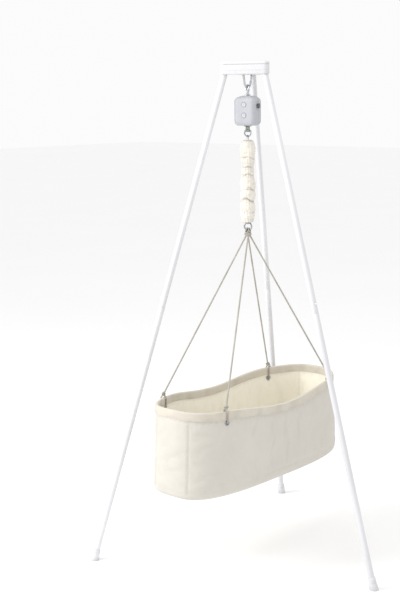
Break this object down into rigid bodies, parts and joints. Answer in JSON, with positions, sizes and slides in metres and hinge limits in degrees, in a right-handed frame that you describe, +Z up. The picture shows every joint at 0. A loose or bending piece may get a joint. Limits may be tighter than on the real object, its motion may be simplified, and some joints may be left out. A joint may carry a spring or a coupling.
{
  "type": "hanging baby cradle",
  "caption": "Soft-sided oval cradle hung by cords, a sleeved spring and a rocking motor unit from a plug-together stand of splayed tube legs.",
  "frame": {"origin": "on the floor, at the middle of the stand's footprint box", "axes": "+Z up, +X along the cradle's length; one leg points to -Y"},
  "size_m": [1.0851, 0.9851, 1.846],
  "materials": {
    "tube_paint": "satin powder coat, near white",
    "head_plastic": "smooth white moulding",
    "steel": "zinc-plated steel, bright",
    "frame_steel": "plain rolled sheet and turned parts",
    "housing_plastic": "cool grey moulding, fine texture",
    "dark_plastic": "dark grey moulding",
    "button_plastic": "light grey keys",
    "rubber": "pale moulded rubber",
    "circuit": "green laminate board",
    "webbing": "woven tape, greenish grey",
    "sleeve_cloth": "cream cotton gathered over the spring",
    "cord": "twisted cotton rope, grey beige",
    "cradle_cloth": "padded cream cotton",
    "hem_cloth": "folded cotton tape, beige",
    "mattress_cloth": "quilted cotton over foam",
    "board_wood": "plain plywood",
    "hoop_plastic": "springy plastic rod"
  },
  "bodies": {
    "stand": {"stand_head": "head_plastic", "head_cap": "head_plastic", "hanger_pin": "steel", "leg_upper_tube_front": "tube_paint", "leg_upper_tube_rear": "tube_paint", "leg_upper_tube_left": "tube_paint", "leg_lower_tube_front": "tube_paint", "leg_lower_tube_rear": "tube_paint", "leg_lower_tube_left": "tube_paint", "foot_front": "rubber", "foot_rear": "rubber", "foot_left": "rubber"},
    "hook": {"snap_hook": "steel", "gate_pin": "steel"},
    "gate": {"snap_hook_gate": "steel"},
    "swivel": {"swivel_eye": "steel", "swivel_nut": "steel"},
    "motor_unit": {"motor_front_shell": "housing_plastic", "motor_rear_shell": "housing_plastic", "shell_screw_1": "steel", "shell_screw_2": "steel", "shell_screw_3": "steel", "shell_screw_4": "steel", "strap_guide": "dark_plastic", "frame_bracket": "frame_steel", "gear_motor": "frame_steel", "circuit_board": "circuit", "potentiometer": "dark_plastic", "power_inlet": "dark_plastic"},
    "drum": {"strap_drum": "dark_plastic"},
    "knob": {"speed_knob": "dark_plastic"},
    "power_key": {"power_button": "button_plastic"},
    "timer_key": {"timer_button": "button_plastic"},
    "strap": {"lift_strap": "webbing", "d_ring": "steel", "spring": "steel", "spring_sleeve": "sleeve_cloth"},
    "cradle": {"gather_ring": "steel", "cord_knot_top": "cord", "cord_near_left": "cord", "cord_far_left": "cord", "cord_near_right": "cord", "cord_far_right": "cord", "cradle_shell": "cradle_cloth", "rim_hem": "hem_cloth", "rim_hoop": "hoop_plastic", "base_board": "board_wood", "mattress": "mattress_cloth", "eyelet_near_left": "steel", "eyelet_far_left": "steel", "eyelet_near_right": "steel", "eyelet_far_right": "steel"},
    "snap_front": {"leg_snap_button_front": "steel"},
    "snap_rear": {"leg_snap_button_rear": "steel"},
    "snap_left": {"leg_snap_button_left": "steel"}
  },
  "joints": [
    {"name": "hook_swing", "type": "hinge", "parent": "stand", "child": "hook", "pos_m": [-0.0239, 0.1311, 1.816], "axis": [0.342, 0.9397, 0], "range_deg": [-1.5, 1.5]},
    {"name": "motor_tilt", "type": "hinge", "parent": "hook", "child": "swivel", "pos_m": [-0.0239, 0.1311, 1.7533], "axis": [0.9397, -0.342, 0], "range_deg": [-1.5, 0.8]},
    {"name": "motor_swivel", "type": "hinge", "parent": "swivel", "child": "motor_unit", "pos_m": [-0.0239, 0.1311, 1.716], "axis": [0, 0, 1], "range_deg": [-6, 1]},
    {"name": "gate_open", "type": "hinge", "parent": "hook", "child": "gate", "pos_m": [-0.01131, 0.12652, 1.7719], "axis": [-0.342, -0.9397, 0], "range_deg": [0, 22], "stiffness_Nm_per_rad": 0.05, "springref_deg": -8.59},
    {"name": "strap_stroke", "type": "slide", "parent": "motor_unit", "child": "strap", "axis": [0, 0, 1], "range_m": [-0.01, 0.01]},
    {"name": "drum_turn", "type": "hinge", "parent": "motor_unit", "child": "drum", "pos_m": [-0.00952, 0.13633, 1.662], "axis": [0.342, -0.9397, 0], "range_deg": [-38, 38]},
    {"name": "spring_bounce", "type": "slide", "parent": "strap", "child": "cradle", "axis": [0, 0, 1], "range_m": [-0.15, 0.02], "stiffness_N_per_m": 620, "springref_m": 0.09471, "deforming": ["spring", "spring_sleeve"]},
    {"name": "speed_knob_turn", "type": "hinge", "parent": "motor_unit", "child": "knob", "pos_m": [-0.0232, 0.0824, 1.686], "axis": [0.342, -0.9397, 0], "range_deg": [-135, 135]},
    {"name": "power_press", "type": "slide", "parent": "motor_unit", "child": "power_key", "axis": [0.9397, 0.342, 0], "range_m": [0, 0.0012], "stiffness_N_per_m": 500, "springref_m": -0.0006},
    {"name": "timer_press", "type": "slide", "parent": "motor_unit", "child": "timer_key", "axis": [0.9397, 0.342, 0], "range_m": [0, 0.0012], "stiffness_N_per_m": 500, "springref_m": -0.0006},
    {"name": "snap_press_front", "type": "slide", "parent": "stand", "child": "snap_front", "axis": [0.0754, 0.9575, -0.2786], "range_m": [0, 0.0032], "stiffness_N_per_m": 800, "springref_m": -0.001},
    {"name": "snap_press_rear", "type": "slide", "parent": "stand", "child": "snap_rear", "axis": [-0.8669, -0.4135, -0.2786], "range_m": [0, 0.0032], "stiffness_N_per_m": 800, "springref_m": -0.001},
    {"name": "snap_press_left", "type": "slide", "parent": "stand", "child": "snap_left", "axis": [0.7915, -0.544, -0.2786], "range_m": [0, 0.0032], "stiffness_N_per_m": 800, "springref_m": -0.001}
  ],
  "couplings": [
    {"joint": "drum_turn", "follows": "strap_stroke", "rad_per_m": -65.359}
  ]
}
